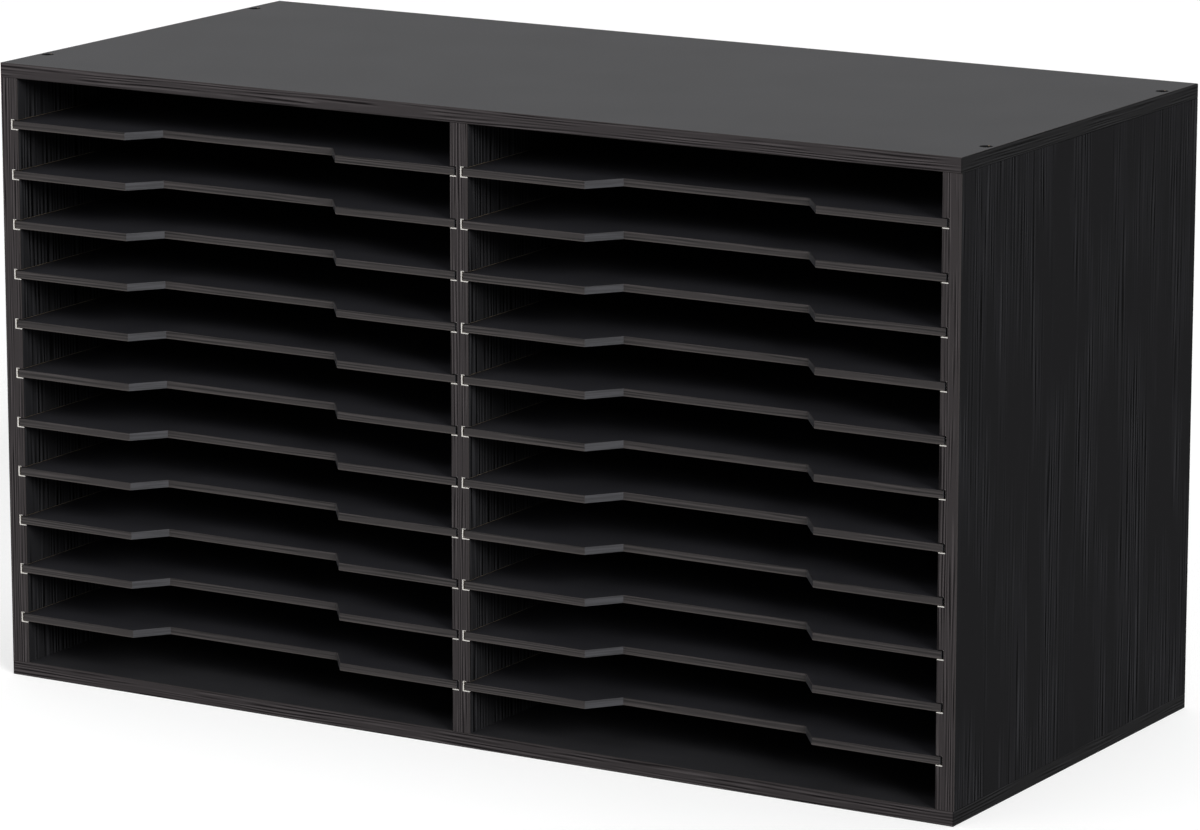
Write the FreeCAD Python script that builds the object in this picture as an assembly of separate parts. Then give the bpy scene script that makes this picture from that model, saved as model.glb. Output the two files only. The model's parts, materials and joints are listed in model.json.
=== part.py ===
import FreeCAD, Part
import os

# A desktop paper sorter of black laminated board: two columns of open slots, parted by thin
# shelves that slide in grooves. All sizes are in millimetres. The origin is at the centre of
# the underside, +X runs to the right, the open front faces -Y and +Z is up.

# The cabinet
overall_width = 700.0
overall_depth = 321.0
overall_height = 408.0
upright_board = 12.7  # both sides and the centre divider
cap_board = 9.5  # the top and the bottom panel
shelf_board = 4.8
back_board = 3.0
shelves_per_column = 11

# The edge banding
carcass_band = 1.0
shelf_band = 0.5
arris = 0.4  # chamfer along the long outer edges of the carcass banding

# The shelf grooves
divider_web = 3.7  # wood left between two grooves that lie back to back in the divider
play_below_shelf = 0.4
play_above_shelf = 0.5
play_at_shelf_end = 1.3
play_behind_shelf = 1.0
groove_lip = 0.3  # broken edge along both lips of a groove
mouth_chamfer = 0.3  # scraped edge round a groove's mouth in the banding

# The finger notch in each shelf's front edge
notch_width = 130.0  # along its back edge
notch_flare = 15.6  # how far each end slants outwards on its way to the front
notch_depth = 20.5

# The back panel and its grooves
back_inset = 6.0  # from the rear edges of the boards to the panel
back_groove_depth = 4.0
back_face_play = 0.1
back_edge_play = 0.5

# The corner screws, countersunk through the top and the bottom panel into the sides
screw_head_diameter = 8.0
screw_head_rim = 0.4
screw_shank_diameter = 4.0
screw_length = 35.0
screw_tip_length = 4.0
screw_sink = 0.3
screw_hole_play = 0.05
screw_from_front = 43.0
screw_from_back = 39.0
recess_span = 4.6
recess_slot = 1.0
recess_depth = 1.6

# The dowels between the uprights and the top and bottom panels
dowel_diameter = 6.0
dowel_length = 24.0
dowel_end_chamfer = 0.8
dowel_cover = 3.0  # wood left over a dowel's blind hole in the top and the bottom panel
dowel_hole_play = 0.05
divider_dowel_from_front = 60.0
divider_dowel_from_back = 60.0

# How far every cutting shape runs past what it cuts, and how near two places count as one
overrun = 2.0
nearness = 0.01

# Places that follow from the sizes above
right_face = overall_width / 2
left_face = -right_face
back_face = overall_depth / 2
front_face = -back_face
board_front = front_face + carcass_band
upright_bottom = cap_board
upright_top = overall_height - cap_board
column_width = (overall_width - 3 * upright_board) / 2
column_centre = (column_width + upright_board) / 2
slot_height = (upright_top - upright_bottom - shelves_per_column * shelf_board) / (shelves_per_column + 1)
groove_depth = (upright_board - divider_web) / 2
back_panel_rear = back_face - back_inset
back_panel_front = back_panel_rear - back_board
upright_centre = right_face - upright_board / 2
screw_rows = (front_face + screw_from_front, back_face - screw_from_back)
divider_dowel_rows = (front_face + divider_dowel_from_front, back_face - divider_dowel_from_back)


def box(x_span, y_span, z_span):
    """A block between two corners, given as (low, high) along each axis."""
    size = [high - low for low, high in (x_span, y_span, z_span)]
    corner = FreeCAD.Vector(x_span[0], y_span[0], z_span[0])
    return Part.makeBox(*size, corner)


def closed_wire(points):
    return Part.makePolygon([FreeCAD.Vector(*point) for point in points + points[:1]])


def plate(outline, bottom, thickness):
    """A flat board of the given outline in X and Y."""
    face = Part.Face(closed_wire([(x, y, bottom) for x, y in outline]))
    return face.extrude(FreeCAD.Vector(0, 0, thickness))


def turned(profile, x, y, z, pointing_down):
    """A round solid from its half profile of (radius, height), set down or upside down."""
    face = Part.Face(closed_wire([(radius, 0, height) for radius, height in profile]))
    solid = face.revolve(FreeCAD.Vector(0, 0, 0), FreeCAD.Vector(0, 0, 1), 360)
    return placed(solid, x, y, z, pointing_down)


def placed(solid, x, y, z, pointing_down):
    if not pointing_down:
        solid.rotate(FreeCAD.Vector(0, 0, 0), FreeCAD.Vector(1, 0, 0), 180)
    solid.translate(FreeCAD.Vector(x, y, z))
    return solid


def with_broken_edges(band, on_broken_edge):
    """Chamfers the straight edges whose middle passes the given test."""
    edges = [edge for edge in band.Edges if on_broken_edge(edge.CenterOfMass)]
    return band.makeChamfer(arris, edges)


def is_close(a, b):
    return abs(a - b) < nearness


def shelf_bottom(row):
    return cap_board + (row + 1) * slot_height + row * shelf_board


def groove_heights(row):
    low = shelf_bottom(row) - play_below_shelf
    return low, shelf_bottom(row) + shelf_board + play_above_shelf


def shelf_grooves(face_x, opens_to):
    """What the saw takes out of one face of an upright. opens_to is 1 or -1 along X."""
    floor = face_x - opens_to * groove_depth
    lip = face_x - opens_to * groove_lip
    outside = face_x + opens_to * overrun
    flare = groove_lip + overrun
    start = front_face - overrun
    length = FreeCAD.Vector(0, overall_depth + 2 * overrun, 0)
    grooves = []
    for row in range(shelves_per_column):
        low, high = groove_heights(row)
        section = [(floor, low), (lip, low), (outside, low - flare)]
        section += [(outside, high + flare), (lip, high), (floor, high)]
        face = Part.Face(closed_wire([(x, start, z) for x, z in section]))
        grooves.append(face.extrude(length))
    return grooves


def groove_mouths(face_x, opens_to):
    """What the scraper takes off the banding round the mouth of each groove."""
    floor = face_x - opens_to * groove_depth
    outside = face_x + opens_to * overrun
    ahead = front_face - overrun
    inside = front_face + mouth_chamfer
    flare = mouth_chamfer + overrun
    plan = [(floor, inside), (outside, inside), (outside, ahead), (floor - opens_to * flare, ahead)]
    mouths = []
    for row in range(shelves_per_column):
        low, high = groove_heights(row)
        section = [(inside, low), (inside, high), (ahead, high + flare), (ahead, low - flare)]
        side = Part.Face(closed_wire([(left_face, y, z) for y, z in section]))
        wedge = side.extrude(FreeCAD.Vector(overall_width, 0, 0))
        mouths.append(wedge.common(plate(plan, 0, overall_height)))
    return mouths


def back_panel_groove():
    """The ring that the back panel lies in, with play at its faces and edges."""
    across = right_face - upright_board + back_groove_depth
    y_span = (back_panel_front - back_face_play, back_panel_rear + back_face_play)
    z_span = (upright_bottom - back_groove_depth, upright_top + back_groove_depth)
    return box((-across, across), y_span, z_span)


def screw_profile(play, above):
    """Half section of a screw, from its head at height 0. Play and above turn it into its hole."""
    head = screw_head_diameter / 2 + play
    shank = screw_shank_diameter / 2 + play
    cone_end = -screw_head_rim - (head - shank)
    points = [(0, above), (head, above), (head, -screw_head_rim), (shank, cone_end)]
    points += [(shank, screw_tip_length - screw_length), (0, -screw_length - play)]
    return points


def screw():
    """A countersunk screw with a cross recess, pointing down from its head at height 0."""
    body = turned(screw_profile(0, 0), 0, 0, 0, True)
    arm = (-recess_span / 2, recess_span / 2)
    slot = (-recess_slot / 2, recess_slot / 2)
    sunk = (-recess_depth, overrun)
    return body.cut([box(arm, slot, sunk), box(slot, arm, sunk)])


def screw_places(at_top):
    height = overall_height - screw_sink if at_top else screw_sink
    return [(x, y, height) for x in (-upright_centre, upright_centre) for y in screw_rows]


def corner_screws(at_top):
    return [placed(screw(), x, y, z, at_top) for x, y, z in screw_places(at_top)]


def screw_holes(at_top):
    profile = screw_profile(screw_hole_play, overrun)
    return [turned(profile, x, y, z, at_top) for x, y, z in screw_places(at_top)]


def dowel_profile(play):
    """Half section of a dowel, from its end in the top or bottom panel at height 0."""
    radius = dowel_diameter / 2 + play
    neck = radius - dowel_end_chamfer
    points = [(0, play), (neck, play), (radius, play - dowel_end_chamfer)]
    points += [(radius, dowel_end_chamfer - dowel_length - play), (neck, -dowel_length - play)]
    return points + [(0, -dowel_length - play)]


def dowels(places, play):
    """The dowels at the given (x, y), once at the top and once at the bottom."""
    cover = dowel_cover + dowel_hole_play
    solids = []
    for x, y in places:
        solids.append(turned(dowel_profile(play), x, y, overall_height - cover, True))
        solids.append(turned(dowel_profile(play), x, y, cover, False))
    return solids


side_dowel_row = sum(screw_rows) / len(screw_rows)
side_dowel_places = [(-upright_centre, side_dowel_row), (upright_centre, side_dowel_row)]
divider_dowel_places = [(0, y) for y in divider_dowel_rows]


def all_holes():
    """Every screw hole and dowel hole of the cabinet."""
    places = side_dowel_places + divider_dowel_places
    return screw_holes(True) + screw_holes(False) + dowels(places, dowel_hole_play)


def cap_panel(bottom):
    """The board of the top or the bottom panel, without its banding."""
    x_span = (left_face + carcass_band, right_face - carcass_band)
    board = box(x_span, (board_front, back_face), (bottom, bottom + cap_board))
    return board.cut([back_panel_groove()] + all_holes())


def cap_bands(bottom):
    """The strips on the front and on both ends of the top or the bottom panel."""
    z_span = (bottom, bottom + cap_board)
    end_depth = (board_front, back_face)

    def long_edge(middle):
        on_outer_face = is_close(abs(middle.x), right_face)
        return on_outer_face and not is_close(middle.z, sum(z_span) / 2)

    front = box((left_face, right_face), (front_face, board_front), z_span)
    front = with_broken_edges(front, lambda middle: is_close(middle.y, front_face))
    left = with_broken_edges(box((left_face, left_face + carcass_band), end_depth, z_span), long_edge)
    right = with_broken_edges(box((right_face - carcass_band, right_face), end_depth, z_span), long_edge)
    return [strip.cut(screw_holes(True) + screw_holes(False)) for strip in (front, left, right)]


def upright(x_span, depth_end, grooves):
    """The board of a side or of the divider, without its banding."""
    board = box(x_span, (board_front, depth_end), (upright_bottom, upright_top))
    return board.cut(grooves + [back_panel_groove()] + all_holes())


def upright_band(x_span, grooves, mouths):
    """The strip on an upright's front edge, which the grooves run through."""
    strip = box(x_span, (front_face, board_front), (upright_bottom, upright_top))

    def outer_edge(middle):
        return is_close(middle.y, front_face) and not is_close(middle.x, sum(x_span) / 2)

    return with_broken_edges(strip, outer_edge).cut(grooves + mouths)


def back_panel():
    across = right_face - upright_board + back_groove_depth - back_edge_play
    reach = back_groove_depth - back_edge_play
    z_span = (upright_bottom - reach, upright_top + reach)
    return box((-across, across), (back_panel_front, back_panel_rear), z_span)


def shelf_front_line(centre):
    """The shelf's front edge with its finger notch, from left to right."""
    half_shelf = column_width / 2 + groove_depth - play_at_shelf_end
    half_notch = notch_width / 2
    half_mouth = half_notch + notch_flare
    notch_back = front_face + notch_depth
    half = [(half_shelf, front_face), (half_mouth, front_face), (half_notch, notch_back)]
    left = [(centre - x, y) for x, y in half]
    right = [(centre + x, y) for x, y in reversed(half)]
    return left + right


def set_back(line, distance):
    """The same line moved towards the back by a distance square to each of its stretches."""
    lines = []
    for (x0, y0), (x1, y1) in zip(line, line[1:]):
        length = ((x1 - x0) ** 2 + (y1 - y0) ** 2) ** 0.5
        step_x = -(y1 - y0) / length * distance
        step_y = (x1 - x0) / length * distance
        lines.append(((x0 + step_x, y0 + step_y), (x1 - x0, y1 - y0)))
    moved = [(line[0][0], line[0][1] + distance)]
    for ((ax, ay), (adx, ady)), ((bx, by), (bdx, bdy)) in zip(lines, lines[1:]):
        along = ((bx - ax) * bdy - (by - ay) * bdx) / (adx * bdy - ady * bdx)
        moved.append((ax + along * adx, ay + along * ady))
    return moved + [(line[-1][0], line[-1][1] + distance)]


def shelf(centre, row):
    """The board of one shelf, behind its banding."""
    front = set_back(shelf_front_line(centre), shelf_band)
    rear = back_panel_front - play_behind_shelf
    outline = front + [(front[-1][0], rear), (front[0][0], rear)]
    return plate(outline, shelf_bottom(row), shelf_board)


def shelf_strip(centre, row):
    """The banding on one shelf's front edge, which follows the notch."""
    front = shelf_front_line(centre)
    outline = front + set_back(front, shelf_band)[::-1]
    return plate(outline, shelf_bottom(row), shelf_board)


def save(name, solids):
    """Writes one sub-part, of one solid or of a group of like solids."""
    shape = solids[0] if len(solids) == 1 else Part.makeCompound(solids)
    shape.exportStep(f"parts/{name}.step")
    extent = shape.BoundBox
    print(f"{name}: {extent.XLength:.1f} x {extent.YLength:.1f} x {extent.ZLength:.1f} mm")


os.makedirs("parts", exist_ok=True)

save("top_panel", [cap_panel(upright_top)])
save("bottom_panel", [cap_panel(0)])
save("top_edge_bands", cap_bands(upright_top))
save("bottom_edge_bands", cap_bands(0))

left_inner = left_face + upright_board
right_inner = right_face - upright_board
half_divider = upright_board / 2
left_grooves = shelf_grooves(left_inner, 1)
right_grooves = shelf_grooves(right_inner, -1)
divider_grooves = shelf_grooves(half_divider, 1) + shelf_grooves(-half_divider, -1)
divider_mouths = groove_mouths(half_divider, 1) + groove_mouths(-half_divider, -1)

left_span = (left_face, left_inner)
right_span = (right_inner, right_face)
divider_span = (-half_divider, half_divider)
save("left_side_panel", [upright(left_span, back_face, left_grooves)])
save("right_side_panel", [upright(right_span, back_face, right_grooves)])
save("centre_divider", [upright(divider_span, back_panel_front - back_face_play, divider_grooves)])
save("left_side_front_band", [upright_band(left_span, left_grooves, groove_mouths(left_inner, 1))])
save("right_side_front_band", [upright_band(right_span, right_grooves, groove_mouths(right_inner, -1))])
save("divider_front_band", [upright_band(divider_span, divider_grooves, divider_mouths)])
save("back_panel", [back_panel()])

save("top_corner_screws", corner_screws(True))
save("bottom_corner_screws", corner_screws(False))
save("side_dowels", dowels(side_dowel_places, 0))
save("divider_dowels", dowels(divider_dowel_places, 0))

for column, centre in (("left", -column_centre), ("right", column_centre)):
    for row in range(shelves_per_column):
        save(f"{column}_shelf_{row + 1:02d}", [shelf(centre, row)])
        save(f"{column}_shelf_band_{row + 1:02d}", [shelf_strip(centre, row)])

print(f"slot height {slot_height:.2f} mm, column width {column_width:.2f} mm")
print(f"groove depth {groove_depth:.2f} mm, inner depth {back_panel_front - front_face:.2f} mm")
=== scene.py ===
# %% [markdown]
# # A paper sorter of black laminated board
#
# The cabinet is two columns of open slots. Thin shelves with a finger notch slide in saw-cut
# grooves, and a thicker top, bottom, two sides and a centre divider hold them. Every board is
# already modelled at its real size, so this lesson only dresses it: it sets up a camera and
# plain studio light, and gives each piece the finish that the real one has.

# %% Load the cabinet
import json
import math

import bpy
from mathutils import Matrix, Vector


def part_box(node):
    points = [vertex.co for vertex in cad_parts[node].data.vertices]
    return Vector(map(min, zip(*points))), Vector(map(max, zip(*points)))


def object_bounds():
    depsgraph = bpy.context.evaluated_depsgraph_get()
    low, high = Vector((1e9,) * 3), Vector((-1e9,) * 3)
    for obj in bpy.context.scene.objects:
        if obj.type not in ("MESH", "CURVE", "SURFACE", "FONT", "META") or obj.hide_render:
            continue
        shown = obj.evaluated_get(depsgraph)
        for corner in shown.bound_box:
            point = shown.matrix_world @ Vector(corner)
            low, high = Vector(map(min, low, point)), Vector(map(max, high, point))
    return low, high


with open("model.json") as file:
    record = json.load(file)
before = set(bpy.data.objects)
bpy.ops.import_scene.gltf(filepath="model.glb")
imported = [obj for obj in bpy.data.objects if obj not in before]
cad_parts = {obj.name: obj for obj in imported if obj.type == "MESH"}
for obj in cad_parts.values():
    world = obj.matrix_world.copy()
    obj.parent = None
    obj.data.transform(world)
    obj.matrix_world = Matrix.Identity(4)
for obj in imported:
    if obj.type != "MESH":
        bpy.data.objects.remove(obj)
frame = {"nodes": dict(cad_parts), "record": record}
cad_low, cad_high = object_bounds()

MM_PER_METRE = 1000
cad_size_mm = [round(MM_PER_METRE * side, 1) for side in cad_high - cad_low]
print(f"{len(frame['nodes'])} pieces, {cad_size_mm} mm")

# %% [markdown]
# ## Camera
#
# A long lens from nearly four metres away keeps the boards' edges almost parallel, as in a
# catalogue picture. The camera stands to the right of the open front and looks down a little,
# so that the front, the right side and the top all show. It could be aimed at a target object
# instead. Setting its turn and its dip directly is shorter, and keeps it level.

# %% Camera
LENS_MM = 178.5
CAMERA_PLACE = Vector((1.9435, -3.2187, 1.0041))
CAMERA_TURN = math.radians(31.051)
CAMERA_DIP = math.radians(12.30)

camera = bpy.data.objects.new("camera", bpy.data.cameras.new("camera"))
bpy.context.scene.collection.objects.link(camera)
camera.data.lens = LENS_MM
camera.location = CAMERA_PLACE
camera.rotation_euler = (math.pi / 2 - CAMERA_DIP, 0, CAMERA_TURN)
bpy.context.scene.camera = camera
print(f"camera {CAMERA_PLACE.length:.2f} m away")

# %% [markdown]
# ## Colours and nodes
#
# Colours are written as sRGB hex values, as on a paint chart. Blender's shaders work in linear
# light, so one function turns them, with the numbers of the sRGB standard. Nodes could be placed
# by hand in the shader editor. Here one small function adds a node, sets it and links it, which
# keeps each finish below to a list of what it is made of.

# %% Colour and node helpers
def linear(hex_colour):
    """An sRGB hex colour as the linear values that the shaders use."""
    shares = [int(hex_colour[i:i + 2], 16) / 255 for i in (1, 3, 5)]
    return [s / 12.92 if s <= 0.04045 else ((s + 0.055) / 1.055) ** 2.4 for s in shares] + [1]


def add_node(tree, kind, inputs, **settings):
    """Adds one node and returns its first live output. An input is a value or another output."""
    node = tree.nodes.new(kind)
    for name, value in settings.items():
        setattr(node, name, value)
    for name, value in inputs.items():
        live = [socket for socket in node.inputs if socket.enabled and socket.name == name]
        socket = live[0] if live else node.inputs[name]
        if isinstance(value, bpy.types.NodeSocket):
            tree.links.new(value, socket)
        else:
            socket.default_value = value
    return next(output for output in node.outputs if output.enabled)


def new_finish(name, roughness, specular):
    """A material, its node tree and its shader. A specular of 0.5 is that of bare plastic."""
    material = bpy.data.materials.new(name)
    material.use_nodes = True
    shader = material.node_tree.nodes["Principled BSDF"]
    shader.inputs["Roughness"].default_value = roughness
    shader.inputs["Specular IOR Level"].default_value = specular
    print(f"{name}: roughness {roughness}, specular {specular}")
    return material, material.node_tree, shader


# %% [markdown]
# ## Studio
#
# Black furniture is photographed on a white sweep. The world is that white surround: what sees
# it directly, which is the camera, a shiny surface or glass, gets full white, and matt surfaces
# get a dim, even fill. Stronger lamps could whiten the background too, but they would also make
# the black boards grey.

# %% White surround
WHITE = linear("#ffffff")
FILL_LEVEL = 0.13


def seen_directly(tree):
    """1 for a ray from the camera, off a shiny surface or through glass, and otherwise 0."""
    rays = add_node(tree, "ShaderNodeLightPath", {}).node.outputs
    seen = rays["Is Camera Ray"]
    for other in ("Is Glossy Ray", "Is Transmission Ray"):
        seen = add_node(tree, "ShaderNodeMath", {0: seen, 1: rays[other]}, operation="MAXIMUM")
    return seen


world = bpy.data.worlds.new("white_surround")
bpy.context.scene.world = world
world.use_nodes = True
surround = world.node_tree.nodes["Background"]
surround.inputs["Color"].default_value = WHITE
levels = {"Value": seen_directly(world.node_tree), "To Min": FILL_LEVEL, "To Max": 1}
level = add_node(world.node_tree, "ShaderNodeMapRange", levels)
world.node_tree.links.new(level, surround.inputs["Strength"])
print(f"surround white, fill {FILL_LEVEL}")

# %% [markdown]
# The floor is a broad sheet of paper that takes the cabinet's soft shadow. White paper would
# throw much light up at the boards. This one is grey, and a glow that only direct rays see lifts
# it to white.

# %% Paper floor
FLOOR_HALF_SIDE = 30
FLOOR_LIFT = 0.55
PAPER_GREY = linear("#b8b8b8")

floor_mesh = bpy.data.meshes.new("floor")
signs = ((-1, -1), (1, -1), (1, 1), (-1, 1))
corners = [(x * FLOOR_HALF_SIDE, y * FLOOR_HALF_SIDE, 0) for x, y in signs]
floor_mesh.from_pydata(corners, [], [(0, 1, 2, 3)])
floor = bpy.data.objects.new("floor", floor_mesh)
bpy.context.scene.collection.objects.link(floor)

paper, tree, shader = new_finish("white_paper", roughness=0.9, specular=0.1)
shader.inputs["Base Color"].default_value = PAPER_GREY
lift = add_node(tree, "ShaderNodeMath", {0: seen_directly(tree), 1: FLOOR_LIFT}, operation="MULTIPLY")
glow = add_node(tree, "ShaderNodeEmission", {"Color": WHITE, "Strength": lift})
lifted = add_node(tree, "ShaderNodeAddShader", {0: shader.outputs[0], 1: glow})
tree.links.new(lifted, tree.nodes["Material Output"].inputs["Surface"])
floor_mesh.materials.append(paper)
print(f"floor {2 * FLOOR_HALF_SIDE} m wide")

# %% [markdown]
# Two broad far lamps do most of the rest. The low one, on the right, reaches a little way into
# each slot and picks out the slanted sides of the finger notches. The high one, behind, lights
# the top, and off the floor it lights the front edges from below. Area lamps could stand for
# them. Sun lamps with a wide disc were chosen, because they keep the floor evenly white.

# %% Far lamps
def add_lamp(name, side, height, disc, level):
    """A far, round lamp, side degrees to the right of the front and height degrees up.

    White card that faces it is as bright as its level.
    """
    lamp = bpy.data.objects.new(name, bpy.data.lights.new(name, "SUN"))
    bpy.context.scene.collection.objects.link(lamp)
    turn, rise = math.radians(side), math.radians(height)
    flat = math.cos(rise)
    towards = Vector((math.sin(turn) * flat, -math.cos(turn) * flat, math.sin(rise)))
    lamp.rotation_euler = towards.to_track_quat("Z", "Y").to_euler()
    lamp.data.angle = math.radians(disc)
    lamp.data.energy = level * math.pi
    print(f"{name}: level {level}")


add_lamp("low_right_lamp", side=60, height=23, disc=26, level=1.0)
add_lamp("high_rear_lamp", side=180, height=75, disc=50, level=0.42)

# %% [markdown]
# A long softbox hangs in front, to the left and well above the cabinet. Near lamps fall off
# with distance, so the upper shelves get more of it than the lower ones, as in the picture. A
# third far lamp could light the front too, but as strongly below as above. White card that faces
# the softbox at the cabinet's front is about four fifths as bright as its level.

# %% Front softbox
SOFTBOX_PLACE = Vector((-0.4, -1.1, 1.2))
SOFTBOX_LENGTH = 1.8
SOFTBOX_HEIGHT = 0.5
SOFTBOX_LEVEL = 0.42

front_middle = Vector((0, cad_low.y, (cad_low.z + cad_high.z) / 2))
away = SOFTBOX_PLACE - front_middle
softbox = bpy.data.objects.new("front_softbox", bpy.data.lights.new("front_softbox", "AREA"))
bpy.context.scene.collection.objects.link(softbox)
softbox.location = SOFTBOX_PLACE
softbox.rotation_euler = away.to_track_quat("Z", "Y").to_euler()
softbox.data.shape = "RECTANGLE"
softbox.data.size = SOFTBOX_LENGTH
softbox.data.size_y = SOFTBOX_HEIGHT
softbox.data.energy = SOFTBOX_LEVEL * math.pi ** 2 * away.length_squared
softbox.visible_camera = False
bpy.context.scene.view_settings.view_transform = "Standard"
print(f"softbox {away.length:.2f} m away, {softbox.data.energy:.1f} W")

# %% [markdown]
# ## Patterns
#
# What is printed or pressed into these boards runs along a grain, so the patterns are noise with
# long, narrow cells. Pictures of real boards could be wrapped on instead, but noise has no seams
# and fits any size. The cells are given in millimetres along X, Y and Z, and the place is read in
# the cabinet's own coordinates, so a pattern keeps its scale and moves with its piece.

# %% Pattern helpers
SOFT_SPAN = (0.3, 0.7)


def place_mm(tree):
    """The place on the piece, in millimetres."""
    place = add_node(tree, "ShaderNodeTexCoord", {}).node.outputs["Object"]
    return add_node(tree, "ShaderNodeVectorMath", {0: place, "Scale": MM_PER_METRE}, operation="SCALE")


def in_cells(tree, place, cell_mm):
    """The place, counted in cells of that size."""
    cells_per_mm = [1 / size for size in cell_mm]
    return add_node(tree, "ShaderNodeVectorMath", {0: place, 1: cells_per_mm}, operation="MULTIPLY")


def grain(tree, place, cell_mm, span=SOFT_SPAN, detail=2):
    """Noise in cells of that size, drawn out so that the span's ends become 0 and 1."""
    cell = in_cells(tree, place, cell_mm)
    noise = add_node(tree, "ShaderNodeTexNoise", {"Vector": cell, "Scale": 1, "Detail": detail})
    low, high = span
    return add_node(tree, "ShaderNodeMapRange", {"Value": noise, "From Min": low, "From Max": high})


def coats(tree, colour, *layers):
    """A colour with coats over it. Each coat is the share that it covers and its own colour."""
    for share, coat in layers:
        mix = {"Factor": share, "A": colour, "B": coat}
        colour = add_node(tree, "ShaderNodeMix", mix, data_type="RGBA")
    return colour


# %% [markdown]
# Noise much finer than the picture's own dots melts into broad smears. The finest grain is
# therefore ruled with a wave texture, which keeps its spacing. A slow noise in the wave makes its
# lines wander, part and meet, and another fades single lines out, as in real grain. The wave
# texture turns through 20 radians in each cell, and one full turn is one line.

# %% Ruled grain
WAVE_RADIANS = 20
WANDER_RADIANS = 9
WANDER_RUNS = 4
WANDER_DETAIL = 3
FADE_SPACINGS = 1.5
FADE_SPAN = (0.38, 0.6)
EVEN_TONE = 0.5


def stretched(axis, across, run):
    """A cell that is one size along the axis and another along the other two."""
    return [across if name == axis else run for name in "XYZ"]


def ruled(tree, place, axis, spacing_mm, run_mm):
    """Lines ranged along the axis, from 0 to 1, that fade in and out of 0.5 over about a run."""
    cell_mm = stretched(axis, spacing_mm * WAVE_RADIANS / (2 * math.pi), WANDER_RUNS * run_mm)
    wave = {"Vector": in_cells(tree, place, cell_mm), "Scale": 1, "Detail Scale": 1}
    wander = {"Distortion": WANDER_RADIANS, "Detail": WANDER_DETAIL}
    wave_texture = add_node(tree, "ShaderNodeTexWave", {**wave, **wander}, bands_direction=axis).node
    fade_mm = stretched(axis, FADE_SPACINGS * spacing_mm, run_mm)
    kept = grain(tree, place, fade_mm, FADE_SPAN, detail=1)
    mix = {"Factor": kept, "A": EVEN_TONE, "B": wave_texture.outputs["Fac"]}
    return add_node(tree, "ShaderNodeMix", mix, data_type="FLOAT")


# %% [markdown]
# Some finishes belong to one side of a board, or to a place such as a groove. Faces could be
# picked by hand and given a material each, but that is lost when a board changes. These helpers
# give 1 in such a place and 0 elsewhere, to use as the share of a coat.

# %% Helpers for places
NEAR_MM = 0.05
OVER_ANY_SHARE = 2
TRUE_SHARE = (0.5, 1.5)


def along(tree, vector, axis):
    """How far a place or a normal reaches along X, Y or Z, whichever way."""
    split = add_node(tree, "ShaderNodeSeparateXYZ", {0: vector}).node
    return add_node(tree, "ShaderNodeMath", {0: split.outputs[axis]}, operation="ABSOLUTE")


def where(tree, *limits):
    """1 where each value lies between its own low and high, and otherwise 0."""
    inside = 1
    for value, low, high in limits:
        window = {0: value, 1: (low + high) / 2, 2: (high - low) / 2}
        held = add_node(tree, "ShaderNodeMath", window, operation="COMPARE")
        inside = add_node(tree, "ShaderNodeMath", {0: inside, 1: held}, operation="MULTIPLY")
    return inside


def near(value, spot_mm):
    """Limits for where, which keep a value close to a spot."""
    return value, spot_mm - NEAR_MM, spot_mm + NEAR_MM


def either(tree, *shares):
    """The largest of some shares."""
    most = 0
    for share in shares:
        most = add_node(tree, "ShaderNodeMath", {0: most, 1: share}, operation="MAXIMUM")
    return most


# %% [markdown]
# A face is told by its normal, which needs no list of faces. A share of 0.99 along an axis is a
# flat face square to it, 0.9 leaves out eased edges, 0.6 takes them in, and 0.3 takes in slanted
# faces as well.

# %% Helper for faces
SQUARE = 0.99
NEARLY_SQUARE = 0.9
WITH_EASED_EDGE = 0.6
TURNED = 0.3


def facing(tree, axis, least):
    """1 where the surface faces along the axis by at least that share, and otherwise 0."""
    normal = add_node(tree, "ShaderNodeTexCoord", {}).node.outputs["Normal"]
    return where(tree, (along(tree, normal, axis), least, OVER_ANY_SHARE))


# %% [markdown]
# ## Sawn fibreboard
#
# The boards are fibreboard faced with melamine: paper soaked in resin, printed, and pressed on
# hot. The saw has opened the brown core in the grooves and along the rear edges, and it shows
# as a thin warm line beside each shelf. It could be a material of its own, but one board then
# needs two. One function makes its colour instead, for the finishes below to use where a board
# isn't faced. Real fibres are 0.03 mm thick. They are drawn as clumps of 1.5 mm, so that a sawn
# edge doesn't look like plain paint.

# %% Sawn core
CORE_LIGHT = linear("#9c8d79")
CORE_DARK = linear("#756856")
FIBRE_CLUMP_MM = (1.5, 1.5, 1.5)


def sawn_core(tree, place):
    """Fuzzy brown fibre."""
    clumps = grain(tree, place, FIBRE_CLUMP_MM, detail=4)
    return coats(tree, CORE_LIGHT, (clumps, CORE_DARK))


# %% [markdown]
# ## Side laminate
#
# Each face of the sides and the divider keeps one distance from the cabinet's middle, which
# tells it from the grooves sawn into it. The distances could be typed in. They are read from the
# boards, so that they stay right when a board changes.

# %% Faces of the uprights
uprights = [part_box(name) for name in ("left_side_panel", "right_side_panel", "centre_divider")]
faces_mm = sorted({round(abs(corner.x) * MM_PER_METRE, 2) for box in uprights for corner in box})
divider_face, inner_face, outer_face = faces_mm
print("upright faces", faces_mm, "mm from the middle")
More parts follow.
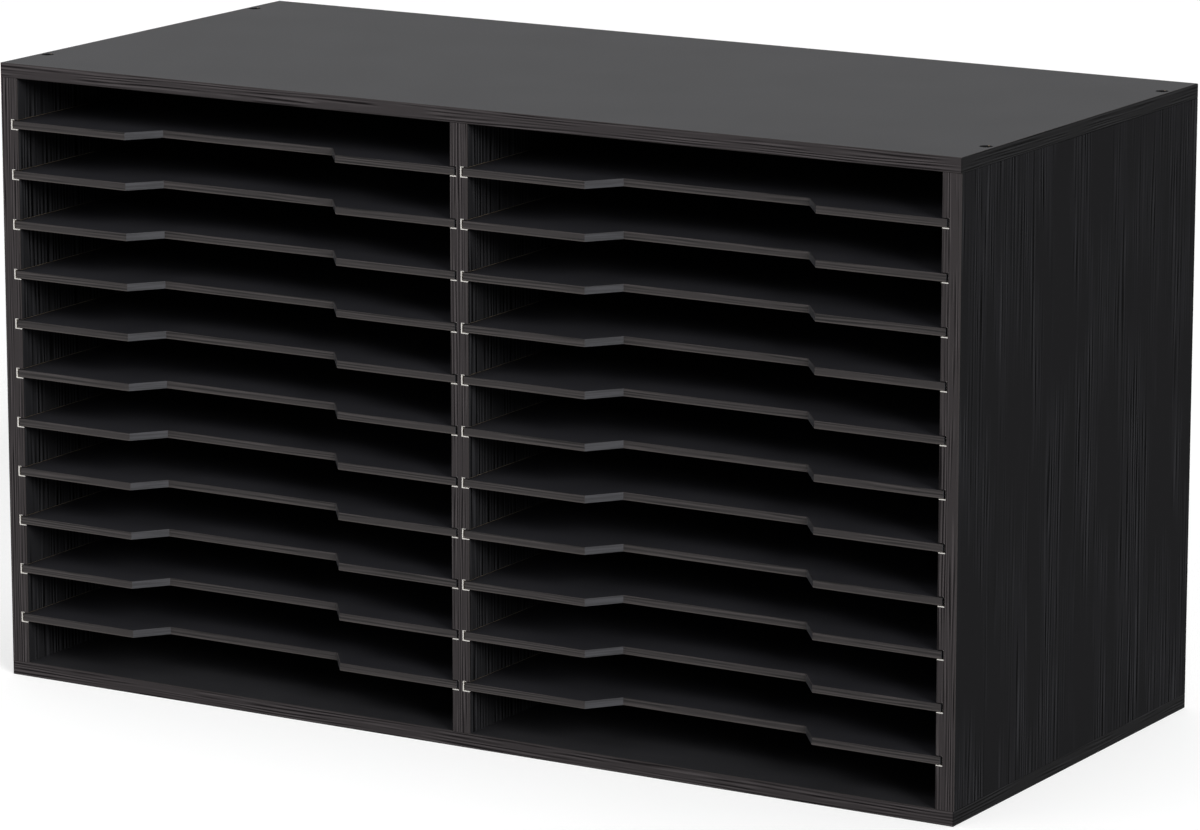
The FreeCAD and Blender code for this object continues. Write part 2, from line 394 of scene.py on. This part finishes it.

# %% [markdown]
# The sides and the divider wear black melamine with an upright wood grain. A steel plate
# presses the pores in, so the black is broken by fine lines, in patches where the imitated year
# rings run close. Inside the slots they run close everywhere. Carved pores would need millions of
# faces, so the lines are painted instead: some as a lit copy of the black and some as a shaded
# copy, which is painted light and shade, over only a slight bump. The real pores are less than
# 1 mm apart. They are drawn 3.8 mm apart, because finer ones vanish in a picture of the whole
# cabinet. A pressed sheet is matt at this scale, so even at a slant it mirrors next to nothing.

# %% Side laminate
PORE_SPACING_MM = 3.8
PORE_RUN_MM = 60
PORE_DEPTH_MM = 0.1
RING_PATCH_MM = (18, 18, 100)
RING_SPAN = (0.4, 0.65)
SHEET_EDGE_MM = 0.45
SIDE_BLACK = linear("#19191a")
SIDE_PORE_LIT = linear("#2b2b2d")
SIDE_PORE_SHADED = linear("#020202")

side_laminate, tree, shader = new_finish("side_laminate", roughness=0.8, specular=0.01)
place = place_mm(tree)
reach = along(tree, place, "X")
patch = grain(tree, place, RING_PATCH_MM, RING_SPAN, detail=1)
close = either(tree, patch, where(tree, (reach, 0, inner_face + NEAR_MM)))
pores = ruled(tree, place, "Y", PORE_SPACING_MM, PORE_RUN_MM)
# The pore lines in painted light and painted shade
pores_painted_lit_and_shaded = coats(tree, SIDE_PORE_SHADED, (pores, SIDE_PORE_LIT))
faced = either(
    tree,
    where(tree, near(reach, divider_face)),
    where(tree, near(reach, inner_face)),
    where(tree, (reach, outer_face - SHEET_EDGE_MM, outer_face + NEAR_MM)))
black = coats(tree, SIDE_BLACK, (close, pores_painted_lit_and_shaded))
colour = coats(tree, sawn_core(tree, place), (faced, black))
tree.links.new(colour, shader.inputs["Base Color"])
relief = add_node(tree, "ShaderNodeMath", {0: pores, 1: close}, operation="MULTIPLY")
pressed = {"Height": relief, "Distance": PORE_DEPTH_MM / MM_PER_METRE, "Strength": 1}
tree.links.new(add_node(tree, "ShaderNodeBump", pressed), shader.inputs["Normal"])

# %% [markdown]
# ## Smooth laminate
#
# The top, the bottom and the shelves wear a plain smooth black sheet. It is satin, so seen at a
# slant it mirrors the white room as an even grey, which is why the top looks so much paler than
# the sides. In the slots the sheet mirrors only the dark, and stays black. The shelves' sheet is
# also a shade darker than the top's, which is painted shade for the dim slots. One flat colour
# could do, but a real sheet has faint clouds and a fine tooth. The tooth is drawn 0.8 mm wide,
# coarser than it is, so that it shows. The ends that slide in the grooves and the screw holes keep
# the sheet's black instead of raw board: painted shade, for the dark gaps and holes round them.
# Only the rear edges are left raw.

# %% Smooth laminate
SHEET_CLOUD_MM = (60, 60, 60)
SHEET_TOOTH_MM = (0.8, 0.8, 0.8)
SHEET_SMOOTHEST = 0.46
SHEET_ROUGHEST = 0.54
SHEET_SPECULAR = 0.045


def smooth_laminate(name, dark, light):
    """A satin sheet with faint clouds, and raw board at its rear edge."""
    finish, tree, shader = new_finish(name, roughness=0.5, specular=SHEET_SPECULAR)
    place = place_mm(tree)
    clouds = grain(tree, place, SHEET_CLOUD_MM)
    # All but the rear edges keep the sheet's black: painted shade at the shelf ends and screw holes
    rear = facing(tree, "Y", SQUARE)
    colour = coats(tree, dark, (clouds, light), (rear, sawn_core(tree, place)))
    tree.links.new(colour, shader.inputs["Base Color"])
    tooth = grain(tree, place, SHEET_TOOTH_MM, detail=3)
    satin = {"Value": tooth, "To Min": SHEET_SMOOTHEST, "To Max": SHEET_ROUGHEST}
    tree.links.new(add_node(tree, "ShaderNodeMapRange", satin), shader.inputs["Roughness"])
    return finish


cap_laminate = smooth_laminate("cap_laminate", dark=linear("#242426"), light=linear("#28282a"))
# The shelves' sheet is a shade darker than the caps': painted shade for the slots
shelf_laminate = smooth_laminate("shelf_laminate", dark=linear("#222225"), light=linear("#262629"))

# %% [markdown]
# ## Edge banding
#
# The front edges are closed with plastic banding, glued on hot and trimmed flush. Its face is
# printed with a brown-black grain that runs along the strip, so it runs upright on the sides
# and across on the top, the bottom and the shelves. The real print has hairlines of 0.2 mm.
# They are drawn 2 mm apart, to show at all. Trimming scrapes the print off along each outer
# edge, and leaves it plain.

# %% Printed grain
PRINT_DARK = linear("#151314")
PRINT_LIGHT = linear("#4c4849")
TRIMMED_EDGE = linear("#343131")
HAIRLINE_SPACING_MM = 2
HAIRLINE_RUN_MM = 45
BANDING_ROUGHNESS = 0.45


def printed_grain(tree, place, axis, dark=PRINT_DARK, light=PRINT_LIGHT):
    """Dark and light hairlines, ranged along the axis."""
    return coats(tree, dark, (ruled(tree, place, axis, HAIRLINE_SPACING_MM, HAIRLINE_RUN_MM), light))


def banding(name, specular):
    """A strip's material, its node tree, its shader and the place on it."""
    finish, tree, shader = new_finish(name, BANDING_ROUGHNESS, specular)
    return finish, tree, shader, place_mm(tree)


# %% [markdown]
# The top and the bottom panel have strips on their two ends as well as along the front. Those
# strips are the same banding, painted in the sides' deeper black: painted shade, because the ends
# get less light than the front. Two materials could be given out face by face. One is simpler:
# the direction that a face looks in picks its print.

# %% Banding of the top and bottom panel
# The print on the two ends, darkened as painted shade
END_SHADE_DARK = linear("#020202")
END_SHADE_LIGHT = linear("#242425")

cap_banding, tree, shader, place = banding("cap_banding", specular=0.01)
front = (facing(tree, "Y", NEARLY_SQUARE), printed_grain(tree, place, "Z"))
# Strips that face sideways get the darker print: painted shade
end = (facing(tree, "X", WITH_EASED_EDGE), printed_grain(tree, place, "Z", END_SHADE_DARK, END_SHADE_LIGHT))
tree.links.new(coats(tree, TRIMMED_EDGE, front, end), shader.inputs["Base Color"])

# %% [markdown]
# The uprights' strips are white plastic under their print. The saw has run each groove through
# them, so the groove's walls show white there. A scraper has then broken the lower edge of each
# groove, and on the left of each shelf the groove's floor and the start of its upper edge as
# well, which draws a white stroke or a small bracket beside the shelf.
#
# The grooves repeat at an even pitch upwards, and the columns at an even pitch sideways. Both
# places are wrapped at those pitches to find every groove, rather than listing them.

# %% Where the grooves are
GROOVE_BESIDE_MM = 1.3
GROOVE_BELOW_MM = 0.4
GROOVE_ABOVE_MM = 0.5

shelf_low, shelf_high = (MM_PER_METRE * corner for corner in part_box("left_shelf_01"))
next_low = MM_PER_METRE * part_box("left_shelf_02")[0]
last_low = MM_PER_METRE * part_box("left_shelf_11")[0]
beside_low = MM_PER_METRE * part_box("right_shelf_01")[0]
half_row = (next_low.z - shelf_low.z) / 2
half_column = (beside_low.x - shelf_low.x) / 2
half_board = (shelf_high.z - shelf_low.z) / 2
groove_low = -half_board - GROOVE_BELOW_MM
groove_high = half_board + GROOVE_ABOVE_MM
outer_floor = -shelf_low.x + GROOVE_BESIDE_MM
inner_floor = beside_low.x - GROOVE_BESIDE_MM
print(f"grooves every {2 * half_row:.2f} mm up and {2 * half_column:.2f} mm across")


def above_shelf(tree, place):
    """The height above the middle of the nearest shelf, in millimetres."""
    height = add_node(tree, "ShaderNodeSeparateXYZ", {0: place}).node.outputs["Z"]
    first, last = shelf_low.z + half_board, last_low.z + half_board
    ends = {"Min": first - half_row, "Max": last + half_row}
    held = add_node(tree, "ShaderNodeClamp", {"Value": height, **ends})
    above = add_node(tree, "ShaderNodeMath", {0: held, 1: first}, operation="SUBTRACT")
    return add_node(tree, "ShaderNodeMath", {0: above, 1: half_row, 2: -half_row}, operation="WRAP")


# %% [markdown]
# The white could be a second, inner strip. It is a coat over the print, because the strip is
# already notched by the grooves and only needs its colour there. The coat covers, in the order
# below, the groove's walls, its floor in a side's strip, its floor in the divider's strip, the
# broken lower edge, the edge round the floor on the left of a shelf, and the start of the upper
# edge.

# %% Banding of the uprights
STRIP_WHITE = linear("#cbc8c3")
SCRAPED_MM = 0.55
BROKEN_MM = 0.35
UPPER_STROKE_MM = 2.1

sawn_banding, tree, shader, place = banding("sawn_banding", specular=0.02)
above = above_shelf(tree, place)
reach = along(tree, place, "X")
across = add_node(tree, "ShaderNodeSeparateXYZ", {0: place}).node.outputs["X"]
beyond = add_node(tree, "ShaderNodeMath", {0: across, 1: outer_floor}, operation="ADD")
column = {0: beyond, 1: half_column, 2: -half_column}
inward = add_node(tree, "ShaderNodeMath", column, operation="WRAP")
grooved = (reach, inner_floor - BROKEN_MM, outer_floor + BROKEN_MM)
tall = (above, groove_low - SCRAPED_MM, groove_high + SCRAPED_MM)
lower = (above, groove_low - SCRAPED_MM, groove_low + NEAR_MM)
upper = (above, groove_high - NEAR_MM, groove_high + SCRAPED_MM)
white = either(
    tree,
    where(tree, (facing(tree, "Z", NEARLY_SQUARE), *TRUE_SHARE), grooved, tall),
    where(tree, near(reach, outer_floor), tall),
    where(tree, near(reach, inner_floor), tall),
    where(tree, lower, grooved),
    where(tree, (inward, -BROKEN_MM, BROKEN_MM), grooved, tall),
    where(tree, upper, (inward, -BROKEN_MM, UPPER_STROKE_MM), grooved))
front = (facing(tree, "Y", NEARLY_SQUARE), printed_grain(tree, place, "X"))
colour = coats(tree, TRIMMED_EDGE, front, (white, STRIP_WHITE))
tree.links.new(colour, shader.inputs["Base Color"])

# %% [markdown]
# The shelves' strips are thinner. They are stretched hot round the notch, which leaves them
# smoother on its slanted sides, and draws the print out into faint streaks. Those are drawn
# 0.7 mm high, coarser than they are, so that they show. The slanted sides are also painted a
# lighter, cooler grey, which is a painted sheen for the light that they catch from the low lamp
# on the right. A file has taken the sharpness off the strips' lower edge. That edge could be cut
# as a real bevel, but at 0.7 mm only its tone is seen: a slightly paler line painted along it,
# which is a painted highlight for the light that the eased edge would catch.

# %% Banding of the shelves
SHELF_PRINT_DARK = linear("#0e0d0d")
SHELF_PRINT_LIGHT = linear("#3e3a3a")
# The slanted sides' lighter, cooler grey is a painted sheen
NOTCH_SHEEN_DARK = linear("#2f2f31")
NOTCH_SHEEN_LIGHT = linear("#3d3d40")
NOTCH_ROUGHNESS = 0.35
NOTCH_STREAK_MM = (40, 40, 0.7)
STREAK_SPAN = (0.42, 0.58)
# A paler line along the strips' lower edge: a painted highlight
FILED_EDGE_HIGHLIGHT = linear("#403c3b")
FILED_HIGHLIGHT_MM = 0.7

shelf_banding, tree, shader, place = banding("shelf_banding", specular=0.2)
round_notch = facing(tree, "X", TURNED)
front = printed_grain(tree, place, "Z", SHELF_PRINT_DARK, SHELF_PRINT_LIGHT)
streaks = grain(tree, place, NOTCH_STREAK_MM, STREAK_SPAN, detail=3)
# The slanted sides in a painted sheen
slant = coats(tree, NOTCH_SHEEN_DARK, (streaks, NOTCH_SHEEN_LIGHT))
# The lower edge's painted highlight
filed_edge_highlight = where(tree, (above_shelf(tree, place), -half_board - NEAR_MM, FILED_HIGHLIGHT_MM - half_board))
colour = coats(tree, front, (filed_edge_highlight, FILED_EDGE_HIGHLIGHT), (round_notch, slant))
tree.links.new(colour, shader.inputs["Base Color"])
smoothed = {"Value": round_notch, "To Min": BANDING_ROUGHNESS, "To Max": NOTCH_ROUGHNESS}
tree.links.new(add_node(tree, "ShaderNodeMapRange", smoothed), shader.inputs["Roughness"])

# %% [markdown]
# ## Back, screws and dowels
#
# The back is hardboard, pressed on a wire screen that leaves its mesh on the rear face, and
# lacquered a dull, slightly blotched black. The mesh could be modelled, but its ribs are only 0.1
# to 0.2 mm high and are seen by their light and shade alone, so a bump is enough. They are 0.6 mm
# apart on the real sheet, and are drawn 1.5 mm apart to show.

# %% Black hardboard
MESH_MM = 1.5
MESH_DEPTH_MM = 0.2
MESH_STRENGTH = 0.5
BLOTCH_MM = (8, 8, 8)
LACQUER_DARK = linear("#19191a")
LACQUER_LIGHT = linear("#232324")

back_hardboard, tree, shader = new_finish("back_hardboard", roughness=0.6, specular=0.2)
place = place_mm(tree)
blotches = grain(tree, place, BLOTCH_MM, detail=4)
tree.links.new(coats(tree, LACQUER_DARK, (blotches, LACQUER_LIGHT)), shader.inputs["Base Color"])
ribs = []
for axis in ("X", "Z"):
    reach = along(tree, place, axis)
    ribs.append(add_node(tree, "ShaderNodeMath", {0: reach, 1: MESH_MM / 2}, operation="PINGPONG"))
mesh = add_node(tree, "ShaderNodeMath", {0: ribs[0], 1: ribs[1]}, operation="MAXIMUM")
screen = {"Height": mesh, "Distance": MESH_DEPTH_MM / MM_PER_METRE, "Strength": MESH_STRENGTH}
tree.links.new(add_node(tree, "ShaderNodeBump", screen), shader.inputs["Normal"])

# %% [markdown]
# The screws are steel, phosphated to a soft black like the furniture they hold. The coat is a
# dull mineral crust over the metal. A metallic shader would mirror the white room, so they have
# a plain one, and stay dark on the grey top. The crust's crystals are far too small to show, and
# are drawn as spots of 1.2 mm.

# %% Phosphated steel
CRYSTAL_MM = (1.2, 1.2, 1.2)
WORN_SPAN = (0.35, 0.75)
PHOSPHATE_DARK = linear("#060606")
PHOSPHATE_WORN = linear("#101011")

screw_steel, tree, shader = new_finish("screw_steel", roughness=0.8, specular=0.02)
worn = grain(tree, place_mm(tree), CRYSTAL_MM, WORN_SPAN, detail=3)
tree.links.new(coats(tree, PHOSPHATE_DARK, (worn, PHOSPHATE_WORN)), shader.inputs["Base Color"])

# %% [markdown]
# The dowels are turned beech: pale, with darker flecks 3 mm long. They stay hidden in the
# boards, so two noises are enough, where a dowel in sight would want its end grain as well.

# %% Turned beech
BEECH_FIBRE_MM = (2, 2, 30)
BEECH_FLECK_MM = (0.6, 0.6, 3)
FLECK_SPAN = (0.58, 0.7)
BEECH_PALE = linear("#d9b98c")
BEECH_WARM = linear("#c9a476")
BEECH_FLECK = linear("#9c7448")

dowel_beech, tree, shader = new_finish("dowel_beech", roughness=0.65, specular=0.4)
place = place_mm(tree)
fibres = grain(tree, place, BEECH_FIBRE_MM)
flecks = grain(tree, place, BEECH_FLECK_MM, FLECK_SPAN)
colour = coats(tree, BEECH_PALE, (fibres, BEECH_WARM), (flecks, BEECH_FLECK))
tree.links.new(colour, shader.inputs["Base Color"])

# %% [markdown]
# ## Dress the pieces
#
# Each of the 59 pieces could be given its finish by name. The record already names a slot for
# each, so a loop looks the finish up. The banding slot has two, because only the uprights'
# strips are sawn through.

# %% Give every piece its finish
finishes = {
    "cap_laminate": cap_laminate, "side_laminate": side_laminate, "shelf_laminate": shelf_laminate,
    "edge_banding": cap_banding, "shelf_banding": shelf_banding, "back_hardboard": back_hardboard,
    "screw_steel": screw_steel, "dowel_beech": dowel_beech,
}
for part in frame["record"]["subparts"]:
    node = frame["nodes"][part["node"]]
    sawn = part["node"].endswith("front_band")
    node.data.materials.clear()
    node.data.materials.append(sawn_banding if sawn else finishes[part["material_slot"]])
print(len(frame["nodes"]), "pieces dressed in", len(finishes) + 1, "finishes")
